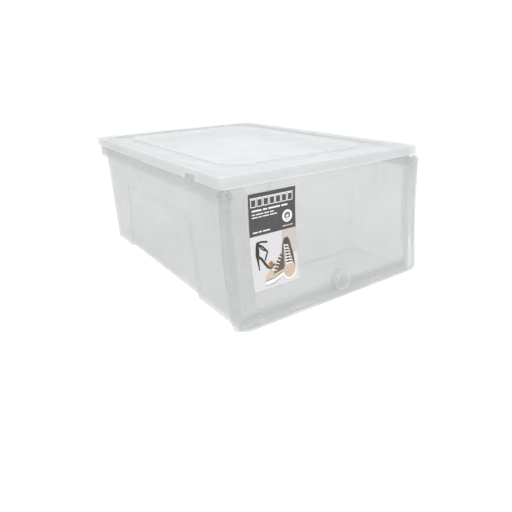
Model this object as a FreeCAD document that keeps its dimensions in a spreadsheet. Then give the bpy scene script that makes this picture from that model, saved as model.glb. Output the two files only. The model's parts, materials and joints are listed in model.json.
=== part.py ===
"""Front-opening shoe box in translucent polypropylene.

A tapered tub with an open front, a loose moulded lid, and a flap door that hangs from two moulded
pins under the front of the lid and swings out and up. A round knob and a card label sit on the door.

Frame: millimetres, +Z up, the box stands on z = 0 and opens towards -Y. While the pieces are built
the lid's centre is at x = y = 0. At the end they all move along Y by one amount, which puts the
origin under the centre of the whole box.
"""
import FreeCAD, Part
import os
import re

SIZES = [
    # lid
    ("lid_width", 290, "side to side, over the skirt"),
    ("lid_depth", 380, "front to back, over the skirt"),
    ("lid_top", 162.5, "height of the border's upper face"),
    ("lid_wall", 1.8, "wall of the lid"),
    ("lid_corner", 2.5, "radius of the outer corners"),
    ("skirt_drop", 11.8, "height of the skirt"),
    ("skirt_flare", 1, "how much wider the skirt is at its lower edge"),
    ("skirt_overrun", 0.001, "how far the hollow of the skirt runs past its lower edge"),
    ("border_side", 20.7, "border, at the two sides"),
    ("border_front", 22, "border, at the front"),
    ("border_rear", 16, "border, at the rear"),
    ("border_corner", 20, "radius of the border's inner corners"),
    ("channel_depth", 4.4, "floor of the channel below the border"),
    ("channel_side", 19, "width of the channel at the sides"),
    ("channel_front", 26, "width of the channel at the front"),
    ("plateau_drop", 1, "plateau below the border"),
    ("plateau_corner", 30, "radius of the plateau's corners"),
    # tub
    ("wall", 2, "wall of the tub"),
    ("mouth_half_width", 136.5, "outer face of a side wall at the rim"),
    ("foot_half_width", 133.5, "outer face of a side wall at the floor"),
    ("mouth_rear", 181.5, "outer face of the rear wall at the rim"),
    ("foot_rear", 174, "outer face of the rear wall at the floor"),
    ("front_edge_top", 185, "front edge of a side wall at the rim"),
    ("front_edge_foot", 202, "front edge of a side wall at the floor"),
    ("tub_corner", 6, "outer radius of the rear corners"),
    ("lid_gap", 0.3, "play between the rim and the lid"),
    ("rim_reach", 5, "the turned-down rim outboard of the wall"),
    ("rim_lower", 134.5, "lower edge of the turned-down rim"),
    ("rim_front", 180, "front end of the turned-down rim"),
    ("foot_height", 2.5, "floor above the surface it stands on"),
    ("panel_inset", 2.5, "recessed side panel"),
    ("panel_top", 99, "upper edge of the side panel"),
    ("panel_front_top", 94, "front end of the panel's upper edge"),
    ("panel_front_foot", 108, "front end of the panel at the floor"),
    ("panel_rear_top", 97, "rear end of the panel's upper edge"),
    ("panel_rear_foot", 110, "rear end of the panel at the floor"),
    ("sill_height", 9, "sill across the front of the floor"),
    ("rail_height", 9, "rail across the top of the front opening"),
    ("rail_front", 186.6, "front face of that rail"),
    ("rib_width", 5.5, "each of the two stiffening ribs in a side wall"),
    ("rib_pitch", 15, "from one of these ribs to the other"),
    ("rib_centre", 144, "their middle, from the lid's centre"),
    ("rib_low", 103, "their lower end"),
    ("rib_proud", 2, "how far they stand into the box"),
    # lid catches
    ("catch_width", 24, "catch notch in the skirt"),
    ("catch_centre", 127, "its middle, from the lid's centre"),
    ("catch_height", 5.5, "height of that notch"),
    ("pocket_depth", 1.2, "pocket in the rim behind the notch"),
    ("pocket_height", 9, "height of that pocket below the skirt"),
    ("pocket_hidden", 2, "how far it runs up behind the skirt"),
    # door
    ("door_top_half_width", 144.2, "half width of the door at the hinge"),
    ("door_reach", 212, "front plane of the door's flared outline, at the foot"),
    ("door_reach_half_width", 135.8, "half width of the outline in that plane"),
    ("door_reach_foot", 3.5, "lower edge of the outline in that plane"),
    ("flare_lean", 3.85, "angle in degrees by which that plane leans back"),
    ("flare_depth", 30, "depth over which the outline flares out"),
    ("flare_out", 24.2, "how much further out each side is at that depth"),
    ("flare_down", 6.4, "how much lower the foot is at that depth"),
    ("door_foot", 2, "height of the door's lower edge"),
    ("door_corner", 7.5, "radius of the lower corners"),
    ("door_wall", 1.8, "wall of the door"),
    ("door_bow", 548, "radius of the door's front face, bowed outwards at the foot"),
    ("door_front", 193, "front face of the door at the hinge"),
    ("flange_depth", 8.5, "depth of the door from its bowed face to its rear rim"),
    ("lower_flange", 204, "rear edge of the lower flange"),
    ("hood_radius", 5.6, "round top edge of the door, about the hinge"),
    ("hinge_height", 143.8, "height of the hinge pins"),
    ("pin_radius", 1.8, "hinge pin"),
    ("pin_play", 0.05, "radial clearance of a pin in its hole"),
    ("lug_radius", 3.3, "lug of the side wall round a pin's hole"),
    ("ear_gap", 1, "play between an ear and the side wall"),
    ("bead_half_width", 121.5, "bead round the window, outer half width"),
    ("bead_width", 4, "width of the bead"),
    ("bead_foot", 20, "lower edge of the bead"),
    ("bead_top", 140.5, "upper ends of the bead"),
    ("bead_corner", 20, "outer radius of the bead's lower corners"),
    ("bead_proud", 0.8, "height of the bead above the face"),
    # knob and label
    ("knob_height", 24.5, "middle of the knob above the floor"),
    ("knob_radius", 11.5, "radius of the knob"),
    ("knob_reach", 9, "how far it stands out from the door"),
    ("knob_round", 1.5, "rounding of its front edge"),
    ("groove_radius", 8.6, "ring groove in the knob's face"),
    ("groove_section", 0.5, "radius of the groove's section"),
    ("stub_radius", 4, "stub of the door that the knob is pressed on"),
    ("stub_length", 5, "length of that stub"),
    ("label_left", 116.5, "label's left edge, from the middle of the door"),
    ("label_right", 57, "label's right edge, from the middle of the door"),
    ("label_foot", 40.5, "label's lower edge"),
    ("label_top", 142.5, "label's upper edge"),
    ("label_thick", 0.3, "thickness of the card"),
    # room for cutting tools
    ("over", 10, "how far a cutting block runs past the face that it cuts"),
]
EDGE_TOLERANCE = 0.01
ALIGNED = 0.7
UPRIGHT = FreeCAD.Rotation(FreeCAD.Vector(1, 0, 0), 90)
LEANING_BACK = FreeCAD.Rotation(FreeCAD.Vector(-1, 0, 0), 1)
ALONG_X = FreeCAD.Rotation(FreeCAD.Vector(0, 1, 0), 90)

doc = FreeCAD.newDocument("ShoeBox")
sheet = doc.addObject("Spreadsheet::Sheet", "Sizes")
for row, (alias, value, meaning) in enumerate(SIZES, start=1):
    sheet.set(f"A{row}", meaning)
    sheet.set(f"B{row}", str(value))
    sheet.setAlias(f"B{row}", alias)
doc.recompute()


ALIASES = {row[0] for row in SIZES}


def sized(text):
    """The expression with each size's name pointed at its cell of the sheet."""
    return re.sub(r"[a-z_]+", lambda word: ("Sizes." if word.group() in ALIASES else "") + word.group(), text)


def size(alias):
    """The number in a cell of the sheet."""
    return sheet.get(alias)


def bind(piece, **expressions):
    """Binds properties of a piece to sizes of the sheet."""
    for name, text in expressions.items():
        piece.setExpression(name, sized(text))


def move(piece, x="0", y="0", z="0"):
    """Binds the place of a piece to sizes of the sheet."""
    for axis, text in zip("xyz", (x, y, z)):
        piece.setExpression("Placement.Base." + axis, sized(text))


def block(name, x, y, z):
    """A block between pairs of expressions along the three axes."""
    piece = doc.addObject("Part::Box", name)
    bind(piece, Length=f"({x[1]}) - ({x[0]})", Width=f"({y[1]}) - ({y[0]})", Height=f"({z[1]}) - ({z[0]})")
    move(piece, x[0], y[0], z[0])
    return piece


def taper(name, x_low, y_low, x_high, y_high, z):
    """A block whose lower and upper rectangles differ; it stands on its end, so its depth runs along -Y."""
    piece = doc.addObject("Part::Wedge", name)
    bind(piece, Ymin=z[0], Ymax=z[1])
    bind(piece, Xmin=x_low[0], Xmax=x_low[1], Zmin=f"-({y_low[1]})", Zmax=f"-({y_low[0]})")
    bind(piece, X2min=x_high[0], X2max=x_high[1], Z2min=f"-({y_high[1]})", Z2max=f"-({y_high[0]})")
    piece.Placement = FreeCAD.Placement(FreeCAD.Vector(0, 0, 0), UPRIGHT)
    return piece


def roller(name, radius, x, y, z):
    """A cylinder along X between the pair of expressions x, about the line at (y, z)."""
    piece = doc.addObject("Part::Cylinder", name)
    bind(piece, Radius=radius, Height=f"({x[1]}) - ({x[0]})")
    piece.Placement = FreeCAD.Placement(FreeCAD.Vector(0, 0, 0), ALONG_X)
    move(piece, x[0], y, z)
    return piece


def fuse(name, *pieces):
    result = doc.addObject("Part::MultiFuse", name)
    result.Shapes = list(pieces)
    return result


def cut(name, base, *tools):
    result = doc.addObject("Part::Cut", name)
    result.Base = base
    result.Tool = tools[0] if len(tools) == 1 else fuse(name + "_tools", *tools)
    return result


def common(name, first, second):
    result = doc.addObject("Part::MultiCommon", name)
    result.Shapes = [first, second]
    return result


def mirrored(piece):
    """The same piece on the other side of the middle plane."""
    result = doc.addObject("Part::Mirroring", piece.Name + "_mirrored")
    result.Source = piece
    result.Normal = FreeCAD.Vector(1, 0, 0)
    return result


def both(name, piece):
    """The piece and its mirror image."""
    return fuse(name, piece, mirrored(piece))


def rounded(name, base, alias, picks):
    """The base with one radius on each edge whose direction and middle picks() accepts."""
    doc.recompute()
    result = doc.addObject("Part::Fillet", name)
    result.Base = base
    chosen = []
    for number, edge in enumerate(base.Shape.Edges, start=1):
        run = edge.Vertexes[-1].Point - edge.Vertexes[0].Point
        if run.Length > EDGE_TOLERANCE and picks(run.normalize(), edge.CenterOfMass):
            chosen.append((number, size(alias), size(alias)))
    result.Edges = chosen
    return result


def upright_edges(run, middle):
    return abs(run.z) > ALIGNED


def rear_upright_edges(run, middle):
    return abs(run.z) > ALIGNED and middle.y > 0


def lower_long_edges(run, middle):
    """The lower edges of a door-sized block, those that run front to back."""
    return abs(run.y) > ALIGNED and middle.z < size("hinge_height") / 2


# --- tub -------------------------------------------------------------------------------------------
RIM_TOP = "lid_top - lid_wall - lid_gap"
FLOOR_TOP = "foot_height + wall"


def tub_block(name, inset, front_run):
    """The tub's tapered outside, drawn in by inset and run on past its front edge by front_run."""
    foot = f"foot_half_width - {inset}"
    mouth = f"mouth_half_width - {inset}"
    sharp = taper(name + "_sharp",
                  (f"-({foot})", foot), (f"-front_edge_foot - {front_run}", f"foot_rear - {inset}"),
                  (f"-({mouth})", mouth), (f"-front_edge_top - {front_run}", f"mouth_rear - {inset}"),
                  ("0", RIM_TOP))
    return rounded(name, sharp, "tub_corner", rear_upright_edges)


def turned_down_rim():
    """The rim that runs out from the top of the side and rear walls and turns down."""
    reach = "mouth_half_width + rim_reach"
    rear = "mouth_rear + rim_reach"
    outside = block("rim_outside", (f"-({reach})", reach), ("-rim_front", rear), ("rim_lower", RIM_TOP))
    hollow = block("rim_hollow", (f"-({reach} - wall)", f"{reach} - wall"),
                   ("-rim_front + wall", f"{rear} - wall"), ("rim_lower - over", f"{RIM_TOP} - wall"))
    return cut("rim", rounded("rim_round", outside, "tub_corner", rear_upright_edges), hollow)


def panel_block(name, inner, outer, margin):
    """The tapered patch of the right side wall between two insets, with a margin round its outline."""
    slope = f"(mouth_half_width - foot_half_width) * panel_top / ({RIM_TOP})"
    return taper(name, (f"foot_half_width - ({inner})", f"foot_half_width - ({outer})"),
                 (f"-panel_front_foot - {margin}", f"panel_rear_foot + {margin}"),
                 (f"foot_half_width + {slope} - ({inner})", f"foot_half_width + {slope} - ({outer})"),
                 (f"-panel_front_top - {margin}", f"panel_rear_top + {margin}"),
                 ("0", f"panel_top + {margin}"))


def side_ribs():
    """The two round-ended stiffening ribs inside the right wall, near its front."""
    inside = "mouth_half_width - wall"
    ribs = []
    for number, side in enumerate(("-", "+")):
        middle = f"-rib_centre {side} rib_pitch / 2"
        span = (f"{inside} - rib_proud", f"{inside} + wall / 2")
        straight = block(f"rib_{number}", span, (f"{middle} - rib_width / 2", f"{middle} + rib_width / 2"),
                         ("rib_low + rib_width / 2", "rim_lower"))
        end = roller(f"rib_end_{number}", "rib_width / 2", span, middle, "rib_low + rib_width / 2")
        ribs += [straight, end]
    return fuse("ribs", *ribs)


def hinge_lug():
    """The lug at the right wall's top front, with the hole for a hinge pin."""
    span = ("mouth_half_width - wall", "mouth_half_width")
    pivot = "hood_radius - door_front"
    disc = roller("lug_disc", "lug_radius", span, pivot, "hinge_height")
    stem = block("lug_stem", span, (f"{pivot} - lug_radius", "-front_edge_top + over"),
                 ("rim_lower - over", "hinge_height - ear_gap / 2"))
    return fuse("lug", disc, stem)


def make_tub():
    shell = fuse("walls_and_rim", tub_block("tub_outside", "0", "0"), turned_down_rim())
    floor = block("cavity_floor", ("-mouth_half_width", "mouth_half_width"),
                  ("-lid_depth", "lid_depth"), ("-over", FLOOR_TOP))
    shell = cut("open_shell", shell, cut("cavity", tub_block("cavity_block", "wall", "over"), floor))
    hinge_room = block("hinge_room", ("mouth_half_width - wall * 2", "mouth_half_width + over"),
                       ("-front_edge_top - over", "hood_radius * 2 + ear_gap - door_front"),
                       ("hinge_height - ear_gap / 2", "lid_top - skirt_drop"))
    shell = cut("shell_with_hinge_room", shell, both("hinge_rooms", hinge_room))

    pads = both("panel_pads", panel_block("panel_pad", "panel_inset + wall", "wall / 2", "wall"))
    rail = block("front_rail", ("-mouth_half_width", "mouth_half_width"),
                 ("-rail_front", "-front_edge_top + wall"), (f"{RIM_TOP} - rail_height", RIM_TOP))
    sill = block("front_sill", ("-foot_half_width + wall / 2", "foot_half_width - wall / 2"),
                 ("-front_edge_foot + wall", "-front_edge_foot + wall * 2"),
                 ("foot_height", f"{FLOOR_TOP} + sill_height"))
    shell = fuse("shell_with_pads", shell, pads, rail, sill, both("all_ribs", side_ribs()),
                 both("lugs", hinge_lug()))

    pockets = both("panel_pockets", panel_block("panel_pocket", "panel_inset", "-over", "0"))
    between_feet = block("between_feet", ("-lid_width", "lid_width"),
                         ("-panel_front_foot", "panel_rear_foot"), ("-over", "foot_height"))
    foot_inside = ("-foot_half_width + wall", "foot_half_width - wall")
    under_front = block("under_front_foot", foot_inside,
                        ("-front_edge_foot + wall", "-panel_front_foot - wall"), ("-over", "foot_height"))
    under_rear = block("under_rear_foot", foot_inside, ("panel_rear_foot + wall", "foot_rear - wall"),
                       ("-over", "foot_height"))
    pin_hole = roller("pin_hole", "pin_radius + pin_play",
                      ("mouth_half_width - wall * 2", "mouth_half_width + over"),
                      "hood_radius - door_front", "hinge_height")
    reach = "mouth_half_width + rim_reach"
    catch_pocket = block("catch_pocket", (f"{reach} - pocket_depth", f"{reach} + over"),
                         ("-catch_centre - catch_width / 2", "-catch_centre + catch_width / 2"),
                         ("lid_top - skirt_drop - pocket_height", "lid_top - skirt_drop + pocket_hidden"))
    return cut("body_shell", shell, pockets, between_feet, under_front, under_rear,
               both("pin_holes", pin_hole), both("catch_pockets", catch_pocket))


# --- lid -------------------------------------------------------------------------------------------
def lid_plan(name, side, front, rear, z, corner):
    """A block inset from the lid's outline by side, front and rear, with round corners."""
    sharp = block(name + "_sharp", (f"-(lid_width / 2 - ({side}))", f"lid_width / 2 - ({side})"),
                  (f"-(lid_depth / 2 - ({front}))", f"lid_depth / 2 - ({rear})"), z)
    return rounded(name, sharp, corner, upright_edges)


def flared_skirt(name, inset, foot, corner):
    """The skirt's block, a little wider at its lower edge, drawn in by inset."""
    half = f"lid_width / 2 - {inset}"
    depth = f"lid_depth / 2 - {inset}"
    top_half, top_depth = f"{half} - skirt_flare", f"{depth} - skirt_flare"
    sharp = taper(name + "_sharp", (f"-({half})", half), (f"-({depth})", depth),
                  (f"-({top_half})", top_half), (f"-({top_depth})", top_depth), (foot, f"lid_top - {inset}"))
    return rounded(name, sharp, corner, upright_edges)


def make_lid():
    foot = "lid_top - skirt_drop"
    shell = cut("lid_cap", flared_skirt("lid_outside", "0", foot, "lid_corner"),
                flared_skirt("lid_inside", "lid_wall", f"{foot} - skirt_overrun", "lid_wall"))
    floor = "lid_top - channel_depth"
    channel_top = lid_plan("channel_room", "border_side", "border_front", "border_rear",
                           (floor, "lid_top + over"), "border_corner")
    channel_tray = lid_plan("channel_tray", "border_side - lid_wall", "border_front - lid_wall",
                            "border_rear - lid_wall", (f"{floor} - lid_wall", "lid_top - lid_wall / 2"),
                            "border_corner")
    side, front, rear = (f"border_{end} + channel_{run}" for end, run in
                         (("side", "side"), ("front", "front"), ("rear", "side")))
    plateau = lid_plan("plateau", side, front, rear, (f"{floor} - lid_wall / 2", "lid_top - plateau_drop"),
                       "plateau_corner")
    plateau_under = lid_plan("plateau_under",
                             f"{side} + lid_wall", f"{front} + lid_wall", f"{rear} + lid_wall",
                             (f"{floor} - over", "lid_top - plateau_drop - lid_wall"), "plateau_corner")
    notch = block("catch_notch", ("lid_width / 2 - lid_wall * 2", "lid_width / 2 + over"),
                  ("-catch_centre - catch_width / 2", "-catch_centre + catch_width / 2"),
                  (f"{foot} - over", f"{foot} + catch_height"))
    tray = cut("tray", fuse("cap_and_tray", shell, channel_tray), channel_top)
    return cut("lid", fuse("tray_and_plateau", tray, plateau), plateau_under, both("catch_notches", notch))


# --- door ------------------------------------------------------------------------------------------
PIVOT = "hood_radius - door_front"
BOW_CENTRE = "-door_front - door_bow"


def bow(name, offset):
    """The big cylinder about the door's bow; its surface is the door's front face moved in by offset."""
    return roller(name, f"door_bow + {offset}", ("-lid_width", "lid_width"), BOW_CENTRE, "hinge_height")


def door_blank(name, inset):
    """The door's outline drawn in by inset: its sides and foot flare out towards the rear, the sides until they
    are in line with the lid."""
    sharp = doc.addObject("Part::Wedge", name + "_sharp")
    half, foot = f"door_reach_half_width - {inset}", f"door_reach_foot + {inset}"
    bind(sharp, Ymin="0", Ymax="flare_depth", Zmax="lid_top", Z2max="lid_top",
         Xmin=f"-({half})", Xmax=half, Zmin=foot,
         X2min=f"-({half}) - flare_out", X2max=f"{half} + flare_out", Z2min=f"{foot} - flare_down")
    sharp.Placement = FreeCAD.Placement(FreeCAD.Vector(0, 0, 0), LEANING_BACK)
    bind(sharp, **{"Placement.Rotation.Angle": "flare_lean * 1 deg"})
    move(sharp, "0", "-door_reach", "0")
    in_line = block(name + "_in_line", (f"{inset} - lid_width / 2", f"lid_width / 2 - {inset}"),
                    ("-lid_depth", "lid_depth"), ("0", "hinge_height"))
    return common(name, rounded(name + "_round", sharp, "door_corner", lower_long_edges), in_line)


def on_knob_axis(piece, sink):
    """Sets a piece on the knob's axis, square to the door's face and sink behind it."""
    tilt = "asin((hinge_height - knob_height) / door_bow)"
    piece.Placement = FreeCAD.Placement(FreeCAD.Vector(0, 0, 0), UPRIGHT)
    bind(piece, **{"Placement.Rotation.Angle": f"90 deg - {tilt}"})
    move(piece, "0", f"{BOW_CENTRE} + (door_bow + {sink}) * cos({tilt})",
         f"hinge_height - (door_bow + {sink}) * sin({tilt})")
    return piece


def knob_rod(name, radius, sink, reach):
    """A rod on the knob's axis, from sink behind the door's face to reach in front of it."""
    piece = doc.addObject("Part::Cylinder", name)
    bind(piece, Radius=radius, Height=f"{sink} + {reach}")
    return on_knob_axis(piece, sink)


def window(name, inset, top):
    """A block through the door inside the bead's outline drawn in by inset, with round lower corners."""
    half = f"bead_half_width - {inset}"
    sharp = block(name + "_sharp", (f"-({half})", half), ("-lid_depth", PIVOT),
                  (f"bead_foot + {inset}", top))
    return rounded(name, sharp, "bead_corner", lower_long_edges)


def face_layer(name, depth, thickness):
    """The layer that covers the door's face, from depth behind it to thickness in front of it."""
    return cut(name, bow(name + "_under", depth), bow(name + "_crest", f"-({thickness})"))


def make_bead():
    """The raised U round the window, left out where the knob sits."""
    ring = cut("bead_ring", window("bead_outline", "0", "bead_top"),
               window("bead_window", "bead_width", "hinge_height"),
               knob_rod("knob_seat", "knob_radius", "over", "over"))
    return common("bead", ring, face_layer("bead_layer", "door_wall / 2", "bead_proud"))


def make_door():
    outside = common("door_outside", door_blank("door_blank", "0"), face_layer("door_layer", "flange_depth", "0"))
    half = "door_top_half_width"
    inner_half = f"{half} - door_wall"
    inner_span = (f"-({inner_half})", inner_half)
    hood = roller("hood_outside", "hood_radius", (f"-{half}", half), PIVOT, "hinge_height")
    hollow = cut("tray_hollow", door_blank("hollow_blank", "door_wall"), bow("door_back", "door_wall"))
    hood_hollow = roller("hood_hollow", "hood_radius - door_wall", inner_span, PIVOT, "hinge_height")
    hood_rear = block("hood_rear", inner_span, (PIVOT, f"{PIVOT} + over"),
                      ("hinge_height - door_wall", "hinge_height + over"))
    past_tub = "foot_half_width + ear_gap"
    lower_room = block("lower_flange_room", (f"-({past_tub})", past_tub),
                       ("-lower_flange", PIVOT), ("door_foot - over", "door_foot + door_corner"))
    tray = cut("door_tray", fuse("door_solid", outside, hood), hollow, hood_hollow, hood_rear, lower_room)

    ear_face = "mouth_half_width - wall - ear_gap"
    ear = roller("ear", "hood_radius", (f"{ear_face} - door_wall", ear_face), PIVOT, "hinge_height")
    pin = roller("pin", "pin_radius", (f"{ear_face} - door_wall / 2", "mouth_half_width + ear_gap"), PIVOT,
                 "hinge_height")
    return fuse("door", tray, both("hinge_ends", fuse("hinge_end", ear, pin)), make_bead(),
                knob_rod("knob_stub", "stub_radius", "door_wall / 2", "stub_length"))


# --- knob and label --------------------------------------------------------------------------------
def make_knob():
    barrel = knob_rod("knob_barrel", "knob_radius", "over / 2", "knob_reach - knob_round")
    crown = doc.addObject("Part::Cone", "knob_crown")
    bind(crown, Radius1="knob_radius", Radius2="knob_radius - knob_round", Height="knob_round")
    on_knob_axis(crown, "(knob_round - knob_reach)")
    groove = doc.addObject("Part::Torus", "knob_groove")
    bind(groove, Radius1="groove_radius", Radius2="groove_section")
    on_knob_axis(groove, "(-knob_reach)")
    socket = knob_rod("knob_socket", "stub_radius", "over", "stub_length + lid_gap")
    seated = common("knob_seated", fuse("knob_outside", barrel, crown), bow("knob_limit", "0"))
    return cut("door_knob", seated, groove, socket)


def make_label():
    outline = block("label_outline", ("-label_left", "-label_right"), ("-lid_depth", PIVOT),
                    ("label_foot", "label_top"))
    return common("label_card", outline, face_layer("label_layer", "0", "label_thick"))


# --- the whole box ---------------------------------------------------------------------------------
pieces = [make_tub(), make_lid(), make_door(), make_knob(), make_label()]
doc.recompute()
whole = Part.makeCompound([piece.Shape for piece in pieces]).optimalBoundingBox()
to_origin = FreeCAD.Vector(0, -(whole.YMin + whole.YMax) / 2, -whole.ZMin)
for piece in pieces:
    piece.Label = piece.Name
    piece.Placement = FreeCAD.Placement(to_origin, FreeCAD.Rotation())
doc.recompute()

failed = [item.Name for item in doc.Objects if {"Invalid", "Error"} & set(item.State)]
if failed:
    raise RuntimeError(f"failed objects: {failed}")
os.makedirs("parts", exist_ok=True)
for piece in pieces:
    shape = piece.Shape
    if shape.isNull() or not shape.isValid() or len(shape.Solids) != 1:
        raise RuntimeError(f"{piece.Label} isn't one valid solid")
    shape.exportStep(os.path.join("parts", piece.Label + ".step"))
    box = shape.optimalBoundingBox()
    print(f"{piece.Label}: {shape.Volume / 1000:.1f} cm3, x {box.XMin:.1f} to {box.XMax:.1f}, "
          f"y {box.YMin:.1f} to {box.YMax:.1f}, z {box.ZMin:.1f} to {box.ZMax:.1f}")
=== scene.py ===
"""Looks of the front-opening shoe box: frosted polypropylene, a bowed flap door and a printed label.

Metres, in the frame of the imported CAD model. Every piece takes its place from that model.
"""
import json
import math

import bmesh
import bpy
from mathutils import Matrix, Vector


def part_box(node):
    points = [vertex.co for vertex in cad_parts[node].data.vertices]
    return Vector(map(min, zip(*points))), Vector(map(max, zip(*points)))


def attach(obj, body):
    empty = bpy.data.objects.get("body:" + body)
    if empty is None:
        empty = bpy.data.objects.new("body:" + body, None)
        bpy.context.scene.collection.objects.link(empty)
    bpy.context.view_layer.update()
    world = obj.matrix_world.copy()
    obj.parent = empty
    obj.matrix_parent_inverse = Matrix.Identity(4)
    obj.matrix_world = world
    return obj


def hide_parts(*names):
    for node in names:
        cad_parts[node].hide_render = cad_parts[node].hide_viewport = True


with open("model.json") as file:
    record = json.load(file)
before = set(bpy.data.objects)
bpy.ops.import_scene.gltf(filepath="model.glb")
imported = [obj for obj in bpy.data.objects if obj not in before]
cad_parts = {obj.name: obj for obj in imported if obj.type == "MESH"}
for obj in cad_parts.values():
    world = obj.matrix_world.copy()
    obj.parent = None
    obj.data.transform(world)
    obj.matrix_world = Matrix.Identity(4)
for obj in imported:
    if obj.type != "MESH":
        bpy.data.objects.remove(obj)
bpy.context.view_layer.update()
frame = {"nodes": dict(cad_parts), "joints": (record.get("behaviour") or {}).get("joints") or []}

MM = 0.001
scene = bpy.context.scene

# --- door face -------------------------------------------------------------------------------------
HINGE = Vector(next(joint["pos_m"] for joint in frame["joints"] if joint["name"] == "door_hinge"))
HOOD_RADIUS = 5.6 * MM
DOOR_BOW = 548 * MM
LABEL_THICK = 0.3 * MM
WINDOW_HALF_WIDTH = 117 * MM
WINDOW_FOOT = 24 * MM


def door_face(x, z, lift=0.0):
    """The point of the door's bowed front face at x and z, moved out of the face by lift."""
    centre_y = HINGE.y - HOOD_RADIUS - DOOR_BOW
    return Vector((x, centre_y + math.sqrt((DOOR_BOW - lift) ** 2 - (HINGE.z - z) ** 2), z))


# --- materials -------------------------------------------------------------------------------------
NOISE_RANGE = (0.3, 0.7)
PLASTIC_IOR = 1.49
FLOW_SCALE = 9
FLOW_DETAIL = 3
MATT_SCALE = 900
MATT_CHANGE = 0.12
THICKNESS_SCALE = 22
THICKNESS_CHANGE = 0.08
MOTTLE_SCALE = 300
FIBRE_SCALE = 2500
FIBRE_CHANGE = 0.1
GRAIN_DEPTH = 0.05 * MM


class Nodes:
    """A node material under construction."""

    def __init__(self, name):
        self.material = bpy.data.materials.new(name)
        self.material.use_nodes = True
        self.tree = self.material.node_tree
        self.tree.nodes.clear()
        self.output = self.tree.nodes.new("ShaderNodeOutputMaterial")
        self.shader = self.tree.nodes.new("ShaderNodeBsdfPrincipled")
        self.tree.links.new(self.shader.outputs["BSDF"], self.output.inputs["Surface"])
        self.place = self.add("ShaderNodeTexCoord").outputs["Object"]

    def add(self, kind, **settings):
        node = self.tree.nodes.new(kind)
        for name, value in settings.items():
            setattr(node, name, value)
        return node

    def link(self, source, target):
        self.tree.links.new(source, target)

    def set(self, **values):
        for name, value in values.items():
            self.shader.inputs[name.replace("_", " ")].default_value = value

    def noise(self, scale, detail=2.0):
        texture = self.add("ShaderNodeTexNoise")
        texture.inputs["Scale"].default_value = scale
        texture.inputs["Detail"].default_value = detail
        self.link(self.place, texture.inputs["Vector"])
        return texture.outputs["Fac"]

    def spread(self, source, low, high):
        """Maps the middle range of a noise onto low to high."""
        ranged = self.add("ShaderNodeMapRange")
        start, end = NOISE_RANGE
        for name, value in (("From Min", start), ("From Max", end), ("To Min", low), ("To Max", high)):
            ranged.inputs[name].default_value = value
        self.link(source, ranged.inputs["Value"])
        return ranged.outputs["Result"]

    def blend_colours(self, factor, first, second):
        mix = self.add("ShaderNodeMix", data_type="RGBA")
        mix.inputs[6].default_value = (*first, 1)
        mix.inputs[7].default_value = (*second, 1)
        self.link(factor, mix.inputs["Factor"])
        return mix.outputs[2]

    def mix_shaders(self, factor, first, second):
        """Two shaders mixed by a number or by a value of the material."""
        mix = self.add("ShaderNodeMixShader")
        if isinstance(factor, float):
            mix.inputs["Fac"].default_value = factor
        else:
            self.link(factor, mix.inputs["Fac"])
        self.link(first, mix.inputs[1])
        self.link(second, mix.inputs[2])
        return mix.outputs["Shader"]

    def maths(self, operation, first, second):
        node = self.add("ShaderNodeMath", operation=operation)
        for socket, value in zip(node.inputs, (first, second)):
            if isinstance(value, (int, float)):
                socket.default_value = value
            else:
                self.link(value, socket)
        return node.outputs["Value"]

    def pick(self, mask, outside, inside):
        """The value outside where the mask is 0, the number inside where it is 1."""
        kept = self.maths("MULTIPLY", outside, self.maths("SUBTRACT", 1, mask))
        return self.maths("ADD", kept, self.maths("MULTIPLY", mask, inside))

    def inside_window(self):
        """1 inside the door's bead, 0 on the frame round it."""
        axes = self.add("ShaderNodeSeparateXYZ")
        self.link(self.place, axes.inputs["Vector"])
        across = self.maths("LESS_THAN", self.maths("ABSOLUTE", axes.outputs["X"], 0), WINDOW_HALF_WIDTH)
        above = self.maths("GREATER_THAN", axes.outputs["Z"], WINDOW_FOOT)
        return self.maths("MULTIPLY", across, above)

    def bump(self, height, strength):
        node = self.add("ShaderNodeBump")
        node.inputs["Strength"].default_value = strength
        node.inputs["Distance"].default_value = GRAIN_DEPTH
        self.link(height, node.inputs["Height"])
        self.link(node.outputs["Normal"], self.shader.inputs["Normal"])


def polypropylene(name, light, shade, cover, roughness, grain, glow=0.45, window=None):
    """Translucent moulded plastic: flow patches between two tints, a fine matt grain and uneven thickness.

    cover is how much one skin of the wall hides of what lies behind it, glow the share of that cover which
    scatters light through, and window the cover of the clearer window inside the door's bead.
    """
    nodes = Nodes(name)
    flow = nodes.noise(FLOW_SCALE, FLOW_DETAIL)
    tint = nodes.blend_colours(nodes.spread(flow, 0, 1), light, shade)
    nodes.link(tint, nodes.shader.inputs["Base Color"])
    matt = nodes.noise(MATT_SCALE)
    nodes.link(nodes.spread(matt, roughness, roughness + MATT_CHANGE), nodes.shader.inputs["Roughness"])
    nodes.bump(matt, grain)
    nodes.set(IOR=PLASTIC_IOR)
    scatter = nodes.add("ShaderNodeBsdfTranslucent")
    nodes.link(tint, scatter.inputs["Color"])
    plastic = nodes.mix_shaders(glow, nodes.shader.outputs["BSDF"], scatter.outputs["BSDF"])
    thinnest, thickest = cover * (1 - THICKNESS_CHANGE), cover * (1 + THICKNESS_CHANGE)
    thickness = nodes.spread(nodes.noise(THICKNESS_SCALE), thinnest, thickest)
    if window is not None:
        thickness = nodes.pick(nodes.inside_window(), thickness, window)
    through = nodes.add("ShaderNodeBsdfTransparent")
    skin = nodes.mix_shaders(thickness, through.outputs["BSDF"], plastic)
    nodes.link(skin, nodes.output.inputs["Surface"])
    return nodes.material


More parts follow.
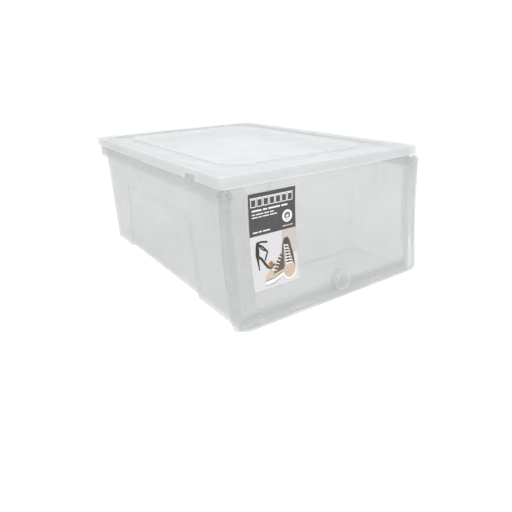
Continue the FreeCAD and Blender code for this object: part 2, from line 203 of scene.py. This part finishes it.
def card(name, colour, other, roughness=0.45):
    """Printed card: ink with a faint paper mottle and grain."""
    nodes = Nodes(name)
    mottle = nodes.spread(nodes.noise(MOTTLE_SCALE), 0, 1)
    nodes.link(nodes.blend_colours(mottle, colour, other), nodes.shader.inputs["Base Color"])
    fibre = nodes.noise(FIBRE_SCALE)
    nodes.link(nodes.spread(fibre, roughness, roughness + FIBRE_CHANGE), nodes.shader.inputs["Roughness"])
    nodes.bump(fibre, strength=0.1)
    return nodes.material


# --- meshes ----------------------------------------------------------------------------------------
SAME_PLACE = 1e-6
FLAT_ANGLE = math.radians(0.05)
ROUNDED_ANGLE = math.radians(28)
SHARP_ANGLE = math.radians(35)


def linked(name, mesh, body, material):
    """A new piece on a CAD body."""
    piece = bpy.data.objects.new(name, mesh)
    scene.collection.objects.link(piece)
    mesh.materials.append(material)
    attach(piece, body)
    return piece


def moulding(name, node, body, material, edge, painted_highlight_material=None, segments=3):
    """The CAD node's shape as a moulding, sharp edges rounded off by edge, in a painted highlight tint if
    given.
    """
    built = bmesh.new()
    built.from_mesh(frame["nodes"][node].data)
    bmesh.ops.remove_doubles(built, verts=built.verts, dist=SAME_PLACE)
    bmesh.ops.dissolve_limit(built, angle_limit=FLAT_ANGLE, verts=built.verts, edges=built.edges)
    mesh = bpy.data.meshes.new(name)
    built.to_mesh(mesh)
    built.free()
    piece = linked(name, mesh, body, material)
    rounding = piece.modifiers.new("rounding", "BEVEL")
    rounding.width = edge
    rounding.segments = segments
    rounding.limit_method = "ANGLE"
    rounding.angle_limit = ROUNDED_ANGLE
    rounding.miter_outer = "MITER_ARC"
    if painted_highlight_material is not None:
        mesh.materials.append(painted_highlight_material)
        rounding.material = 1
    bpy.context.view_layer.update()
    evaluated = piece.evaluated_get(bpy.context.evaluated_depsgraph_get())
    rounded = bpy.data.meshes.new_from_object(evaluated)
    piece.modifiers.clear()
    piece.data = rounded
    rounded.shade_smooth()
    rounded.set_sharp_from_angle(angle=SHARP_ANGLE)
    weighted = piece.modifiers.new("normals", "WEIGHTED_NORMAL")
    weighted.keep_sharp = True
    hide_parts(node)


# --- camera, light and floor -----------------------------------------------------------------------
LID_MIDDLE_Y = (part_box("lid")[0].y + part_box("lid")[1].y) / 2
CAMERA_PLACE = Vector((-0.3561, LID_MIDDLE_Y - 0.5475, 0.2571))
CAMERA_YAW = 0.569
CAMERA_PITCH = 0.367
CAMERA_ROLL = -0.030
CAMERA_LENS = 32.0
CAMERA_SHIFT = (0.0356, -0.0247)
KEY_LIGHT_PLACE = (-0.6, -0.5, 1.6)
BACK_LIGHT_PLACE = (0.5, 1.3, 1.3)
LIGHT_SIZE = 0.5
LIGHT_POWER = 4
SKY_STRENGTH = 1.05
FLOOR_REACH = 30.0
FLOOR_GLOW = 0.82
FLOOR_PATCH_SCALE = 3
SEE_THROUGH_SKINS = 48


def make_camera():
    data = bpy.data.cameras.new("camera")
    camera = bpy.data.objects.new("camera", data)
    scene.collection.objects.link(camera)
    scene.camera = camera
    data.lens = CAMERA_LENS
    data.shift_x, data.shift_y = CAMERA_SHIFT
    ahead = math.cos(CAMERA_PITCH)
    forward = Vector((math.sin(CAMERA_YAW) * ahead, math.cos(CAMERA_YAW) * ahead, -math.sin(CAMERA_PITCH)))
    level = Vector((math.cos(CAMERA_YAW), -math.sin(CAMERA_YAW), 0))
    upward = level.cross(forward)
    right = level * math.cos(CAMERA_ROLL) + upward * math.sin(CAMERA_ROLL)
    up = upward * math.cos(CAMERA_ROLL) - level * math.sin(CAMERA_ROLL)
    turn = Matrix((right, up, -forward)).transposed()
    camera.matrix_world = Matrix.Translation(CAMERA_PLACE) @ turn.to_4x4()


def make_area_light(name, place):
    """A square light that points at the middle of the floor."""
    data = bpy.data.lights.new(name, "AREA")
    data.shape = "SQUARE"
    data.size = LIGHT_SIZE
    data.energy = LIGHT_POWER
    light = bpy.data.objects.new(name, data)
    scene.collection.objects.link(light)
    light.location = place
    light.rotation_mode = "QUATERNION"
    light.rotation_quaternion = (-Vector(place)).to_track_quat("-Z", "Y")


def make_floor():
    """A pale floor that glows a little, so that the box stands on white without a hard shadow."""
    nodes = Nodes("pale_floor")
    patches = nodes.spread(nodes.noise(FLOOR_PATCH_SCALE), 0, 1)
    nodes.link(nodes.blend_colours(patches, (0.32, 0.32, 0.32), (0.30, 0.30, 0.30)),
               nodes.shader.inputs["Base Color"])
    nodes.set(Roughness=0.8, Specular_IOR_Level=0.0)
    nodes.set(Emission_Color=(1, 1, 1, 1), Emission_Strength=FLOOR_GLOW)
    nodes.material.cycles.emission_sampling = "NONE"
    mesh = bpy.data.meshes.new("floor")
    corners = [(x, y, 0) for x, y in ((-1, -1), (1, -1), (1, 1), (-1, 1))]
    mesh.from_pydata([Vector(corner) * FLOOR_REACH for corner in corners], [], [(0, 1, 2, 3)])
    mesh.materials.append(nodes.material)
    floor = bpy.data.objects.new("floor", mesh)
    scene.collection.objects.link(floor)


def make_studio():
    world = bpy.data.worlds.new("studio")
    scene.world = world
    world.use_nodes = True
    background = world.node_tree.nodes["Background"]
    background.inputs["Color"].default_value = (1, 1, 1, 1)
    background.inputs["Strength"].default_value = SKY_STRENGTH
    make_area_light("key", KEY_LIGHT_PLACE)
    make_area_light("back", BACK_LIGHT_PLACE)
    make_floor()
    scene.view_settings.view_transform = "Standard"
    scene.cycles.transparent_max_bounces = SEE_THROUGH_SKINS


# --- label -----------------------------------------------------------------------------------------
PICTURE_TOP = 58


class Print:
    """Flat inks on the label, each one a thin layer that follows the door's bow.

    Places on the label are in millimetres from its lower left corner. LAYER is the thickness of an ink, and
    BEND_STEP the height of the strips that an ink is cut into, so that it can bend.
    """
    LAYER = 0.03 * MM
    BEND_STEP = 6

    def __init__(self):
        low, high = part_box("label_card")
        self.left, self.foot = low.x, low.z
        self.width, self.height = (high.x - low.x) / MM, (high.z - low.z) / MM
        self.built = bmesh.new()
        self.materials = []

    def ink(self, material, layer, outline):
        """A filled outline in one ink; a higher layer lies over a lower one."""
        if material not in self.materials:
            self.materials.append(material)
        patch = bmesh.new()
        patch.faces.new([patch.verts.new((x, 0, z)) for x, z in outline])
        bmesh.ops.triangulate(patch, faces=patch.faces, ngon_method="EAR_CLIP")
        for step in range(self.BEND_STEP, int(self.height), self.BEND_STEP):
            everything = patch.verts[:] + patch.edges[:] + patch.faces[:]
            bmesh.ops.bisect_plane(patch, geom=everything, plane_co=(0, 0, step), plane_no=(0, 0, 1))
        places = {}
        for corner in patch.verts:
            x, z = self.left + corner.co.x * MM, self.foot + corner.co.z * MM
            places[corner] = self.built.verts.new(door_face(x, z, LABEL_THICK + layer * self.LAYER))
        for face in patch.faces:
            made = self.built.faces.new([places[corner] for corner in face.verts])
            made.material_index = self.materials.index(material)
            made.normal_update()
            if made.normal.y > 0:
                made.normal_flip()
        patch.free()

    def bar(self, material, layer, left, foot, width, height):
        right, top = left + width, foot + height
        self.ink(material, layer, [(left, foot), (right, foot), (right, top), (left, top)])

    def disc(self, material, layer, middle, radius, height=None, sides=24):
        """A disc, or an ellipse when height gives its other radius."""
        height = height or radius
        self.ink(material, layer, [(middle[0] + radius * math.cos(turn), middle[1] + height * math.sin(turn))
                                   for turn in (side * math.tau / sides for side in range(sides))])

    def stroke(self, material, layer, points, width):
        """A line of one width with round joints."""
        for start, end in zip(points, points[1:]):
            run = Vector(end) - Vector(start)
            side = Vector((-run.y, run.x)).normalized() * width / 2
            corners = [Vector(start) - side, Vector(end) - side, Vector(end) + side, Vector(start) + side]
            self.ink(material, layer, corners)
        for joint in points:
            self.disc(material, layer, joint, width / 2, sides=10)

    def finish(self, name):
        mesh = bpy.data.meshes.new(name)
        self.built.to_mesh(mesh)
        self.built.free()
        linked(name, mesh, "door", self.materials[0])
        for material in self.materials[1:]:
            mesh.materials.append(material)


def print_title(page, white):
    """A row of little lidded boxes in place of a title."""
    foot, height, width, pitch = 88.4, 7.6, 6.2, 7.7
    for number in range(7):
        left = 3 + number * pitch
        right, top = left + width, foot + height
        page.stroke(white, 2, [(left, foot), (left, top), (right, top), (right, foot), (left, foot)], 0.8)
        lid = top + 1.2
        page.stroke(white, 2, [(left - 0.6, lid), (right + 0.6, lid)], 0.9)


def print_dashes(page, white, left, foot, height, widths):
    """A row of dashes in place of words, one dash's height apart."""
    for width in widths:
        page.bar(white, 2, left, foot, width, height)
        left += width + height


def print_badge(page, white, grey, teal):
    """A disc with a little house in it."""
    x, z = 48.5, 72
    page.disc(white, 2, (x, z), 6.6)
    walls_and_roof = ((-3.8, -2.2), (3.8, -2.2), (3.8, 2.2), (1.6, 4), (-1.6, 4), (-3.8, 2.2))
    page.ink(grey, 3, [(x + across, z + up) for across, up in walls_and_roof])
    page.bar(white, 4, x - 1.6, z - 1, 3.2, 2)
    page.bar(teal, 3, x - 2.8, z - 4.4, 5.6, 1.1)


def print_header(page, dark, white, grey, teal):
    """The dark upper part of the label."""
    page.bar(dark, 1, 0, PICTURE_TOP, page.width, page.height - PICTURE_TOP)
    print_title(page, white)
    print_dashes(page, white, 4, 83.4, 1.7, (12, 5, 15, 8))
    print_dashes(page, white, 4, 79.8, 1.1, (4, 9, 6, 5))
    print_dashes(page, white, 4, 76.8, 1.1, (7, 4, 8, 9))
    print_dashes(page, white, 4, 61.2, 1.3, (6, 4, 9))
    print_dashes(page, white, 42, 61.4, 0.8, (5, 3, 4))
    print_badge(page, white, grey, teal)


def print_sandal(page, black, tan):
    """A strappy sandal on a high heel, seen from the side."""
    page.ink(black, 3, [(5.6, 37), (7, 37), (9.2, 35), (9.4, 21.6), (8.2, 21.6), (7, 30)])
    page.stroke(black, 3, [(8, 36.5), (12, 33.6), (16, 27.6), (19.5, 22.6), (23, 21), (29.5, 23.6)], 2.8)
    page.ink(black, 3, [(5.4, 37.5), (9.8, 35), (10.6, 42), (9.8, 50.2), (7.2, 51), (6, 45)])
    page.stroke(black, 3, [(8.3, 50.6), (14, 51), (20.6, 49.6)], 2.0)
    page.stroke(black, 3, [(9, 49.6), (15, 45.5), (20.6, 39), (17, 31)], 1.9)
    page.stroke(black, 3, [(9.4, 48.6), (14.5, 42.5), (19.6, 40)], 1.5)
    page.ink(tan, 4, [(21.2, 21.6), (25.6, 21), (27, 26), (24.6, 28.6), (22.6, 26)])
    page.stroke(tan, 4, [(19.8, 23.4), (22.6, 27.4)], 1.4)


def print_side_sneaker(page, cream, sole, brown, dark, lace):
    """The rear sneaker of the pair, seen from the side."""
    page.stroke(dark, 3, [(15.6, 4.2), (26, 4.6), (38, 9.4)], 1.6)
    page.ink(sole, 4, [(14.6, 5.2), (16, 3.8), (26, 4.6), (40, 9.6), (40, 13.4), (26, 9), (16, 8.2)])
    page.stroke(brown, 5, [(15.4, 8.4), (26, 9), (39.6, 13.4)], 0.8)
    instep = [(38.4, 34), (33.5, 30), (28.5, 23), (20, 17), (16.2, 13)]
    page.ink(cream, 6, [(15.2, 8.8), (26, 9.4), (40, 14), (41, 24), *instep])
    page.ink(brown, 7, [(26, 13.4), (39.6, 16), (40.6, 24), (38, 33.4), (34, 30), (29, 22.4)])
    for step in range(5):
        height = step * 3.1
        page.stroke(lace, 8, [(24.6 + step * 2.4, 18.6 + height), (30.4 + step * 1.8, 16.6 + height)], 0.95)


def print_front_sneaker(page, cream, sole, brown, dark, lace):
    """The front sneaker of the pair, seen from its toe."""
    collar = [(39.8, 42), (42.6, 48.6), (47.6, 49.6), (50.6, 44)]
    page.ink(brown, 9, [(39.6, 12), (38.4, 28), *collar, (54.4, 28), (55.4, 12)])
    page.disc(sole, 10, (47.2, 11.2), 8.8, 8)
    page.disc(cream, 11, (47.2, 13.4), 8, 8.4)
    page.ink(dark, 10, [(42.4, 20.6), (41, 38), (44, 45), (48.6, 44), (52.2, 30), (52.4, 20.6)])
    page.disc(dark, 11, (45.6, 46), 3.8, 3)
    for step in range(7):
        height = 20.6 + step * 3.3
        page.stroke(lace, 12, [(41.2 + step * 0.1, height + 1.2), (52.6 - step * 0.8, height - 0.8)], 1.0)
        page.stroke(lace, 13, [(41.8, height - 0.8), (52 - step * 0.8, height + 1)], 0.7)


def make_label_print():
    page = Print()
    picture = card("picture_grey", (0.70, 0.685, 0.70), (0.675, 0.66, 0.675))
    page.bar(picture, 1, 0, 0, page.width, PICTURE_TOP)
    page.bar(card("dusty_pink", (0.60, 0.53, 0.52), (0.57, 0.50, 0.49)), 2, 40.5, 31, 19, 27)
    white = card("white_ink", (0.93, 0.93, 0.93), (0.88, 0.88, 0.88))
    black = card("black_ink", (0.012, 0.012, 0.012), (0.03, 0.03, 0.03), roughness=0.3)
    cream = card("cream_ink", (0.66, 0.53, 0.42), (0.56, 0.44, 0.34))
    brown = card("brown_ink", (0.16, 0.115, 0.09), (0.11, 0.08, 0.065))
    charcoal = card("charcoal_ink", (0.075, 0.072, 0.074), (0.06, 0.058, 0.06))
    grey = card("badge_grey", (0.16, 0.14, 0.12), (0.20, 0.17, 0.15))
    teal = card("teal_ink", (0.12, 0.5, 0.6), (0.16, 0.55, 0.65))
    print_header(page, charcoal, white, grey, teal)
    print_sandal(page, black, card("tan_ink", (0.45, 0.22, 0.07), (0.30, 0.14, 0.05)))
    dark_brown = card("dark_brown_ink", (0.06, 0.045, 0.04), (0.09, 0.07, 0.06))
    print_side_sneaker(page, cream, white, brown, dark_brown, white)
    print_front_sneaker(page, cream, white, brown, dark_brown, white)
    page.finish("label_print")


# --- the box ---------------------------------------------------------------------------------------
make_camera()
make_studio()
frosted = polypropylene("frosted_polypropylene", light=(0.70, 0.715, 0.705), shade=(0.665, 0.68, 0.67),
                        cover=0.42, roughness=0.36, grain=0.03)
# painted highlight: this lighter tint on the rounded edges of the tub and lid stands in for the light those
# edges catch
painted_edge_highlight = polypropylene("painted_edge_highlight", light=(0.97, 0.975, 0.97), shade=(0.94, 0.945, 0.94),
                            cover=0.8, roughness=0.2, grain=0.03, glow=0.3)
# painted light: the lid is tinted lighter than the tub to stand in for the light falling on its top from
# above
lid_painted_lighter = polypropylene("lid_plastic_painted_lighter", light=(0.87, 0.89, 0.90), shade=(0.84, 0.86, 0.87),
                            cover=0.54, roughness=0.32, grain=0.03)
clear = polypropylene("clear_polypropylene", light=(0.60, 0.615, 0.62), shade=(0.57, 0.585, 0.59),
                      cover=0.36, roughness=0.36, grain=0.01, glow=0.35, window=0.2)
# painted highlight: this lighter tint on the rounded edges of the door and knob stands in for the light
# those edges catch
painted_door_edge_highlight = polypropylene("painted_door_edge_highlight", light=(0.95, 0.96, 0.97), shade=(0.95, 0.96, 0.97),
                           cover=0.85, roughness=0.3, grain=0.01, glow=0.3)
knob_plastic = polypropylene("knob_polypropylene", light=(0.74, 0.75, 0.75), shade=(0.71, 0.72, 0.72),
                             cover=0.4, roughness=0.36, grain=0.01)
paper = card("printed_paper", (0.80, 0.78, 0.775), (0.77, 0.75, 0.745))
moulding("tub_moulding", "body_shell", "box", frosted, 0.35 * MM, painted_edge_highlight)
moulding("lid_moulding", "lid", "lid", lid_painted_lighter, 0.25 * MM, painted_edge_highlight, segments=2)
moulding("door_moulding", "door", "door", clear, 0.4 * MM, painted_door_edge_highlight)
moulding("knob_moulding", "door_knob", "door", knob_plastic, 0.5 * MM, painted_door_edge_highlight)
moulding("label_paper", "label_card", "door", paper, 0.05 * MM, segments=1)
make_label_print()
